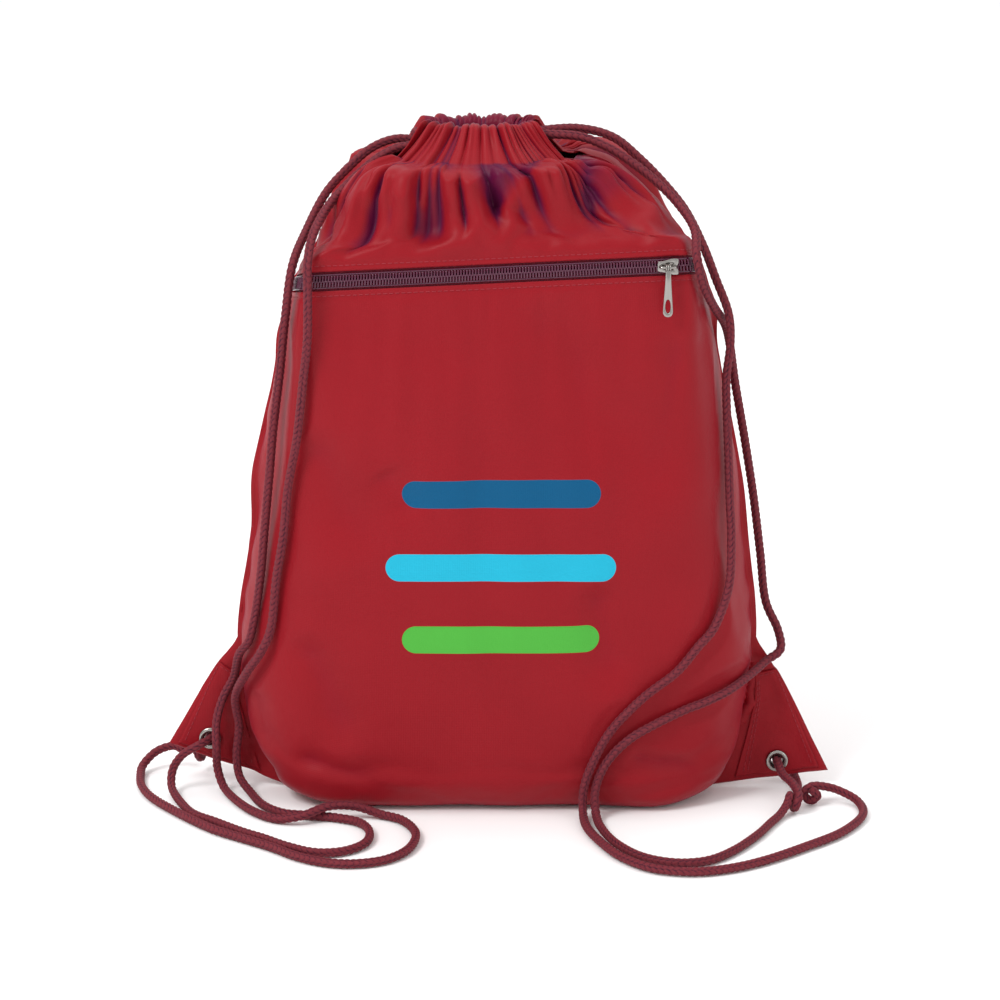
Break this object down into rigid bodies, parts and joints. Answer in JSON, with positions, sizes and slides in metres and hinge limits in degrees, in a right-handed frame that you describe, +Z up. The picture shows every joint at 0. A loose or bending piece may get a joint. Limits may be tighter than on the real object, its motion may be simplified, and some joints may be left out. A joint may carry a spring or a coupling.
{
  "type": "drawstring backpack",
  "caption": "Stuffed drawstring backpack with a zipped front pocket, gathered mouth, corner eyelets and two drawcords as straps.",
  "frame": {"origin": "middle of the bag's footprint, on the surface that it stands on", "axes": "+Z up, -Y out of the front with the zipped pocket, +X to the viewer's right when facing the pocket"},
  "size_m": [0.3817, 0.2154, 0.353],
  "materials": {
    "cloth": "fine plain-weave nylon with a soft satin sheen",
    "lining": "the same nylon, inside out",
    "patch": "second layer of the same nylon, stitched on",
    "zip_tape": "woven zip tape, matte",
    "zip_coil": "moulded nylon coil, slightly glossy",
    "nickel": "nickel plate, softly polished",
    "cord": "knitted polyester cord"
  },
  "bodies": {
    "bag": {"back_panel": "cloth", "upper_front_panel": "cloth", "pocket_panel": "cloth", "pocket_lining": "lining", "corner_patch_left": "patch", "corner_patch_right": "patch", "zip_tape_upper": "zip_tape", "zip_tape_lower": "zip_tape", "zip_coil_upper": "zip_coil", "zip_coil_lower": "zip_coil", "eyelet_left": "nickel", "eyelet_right": "nickel", "eyelet_washer_left": "nickel", "eyelet_washer_right": "nickel", "drawcord_left": "cord", "drawcord_right": "cord"},
    "slider": {"zip_slider": "nickel"},
    "pull": {"zip_pull": "nickel"}
  },
  "joints": [
    {"name": "zip_slide", "type": "slide", "parent": "bag", "child": "slider", "axis": [0.9989, 0, 0.0469], "range_m": [-0.168, 0]},
    {"name": "pull_hinge", "type": "hinge", "parent": "slider", "child": "pull", "pos_m": [0.084, -0.06625, 0.28745], "axis": [1, 0, 0], "range_deg": [-150, 4]}
  ]
}
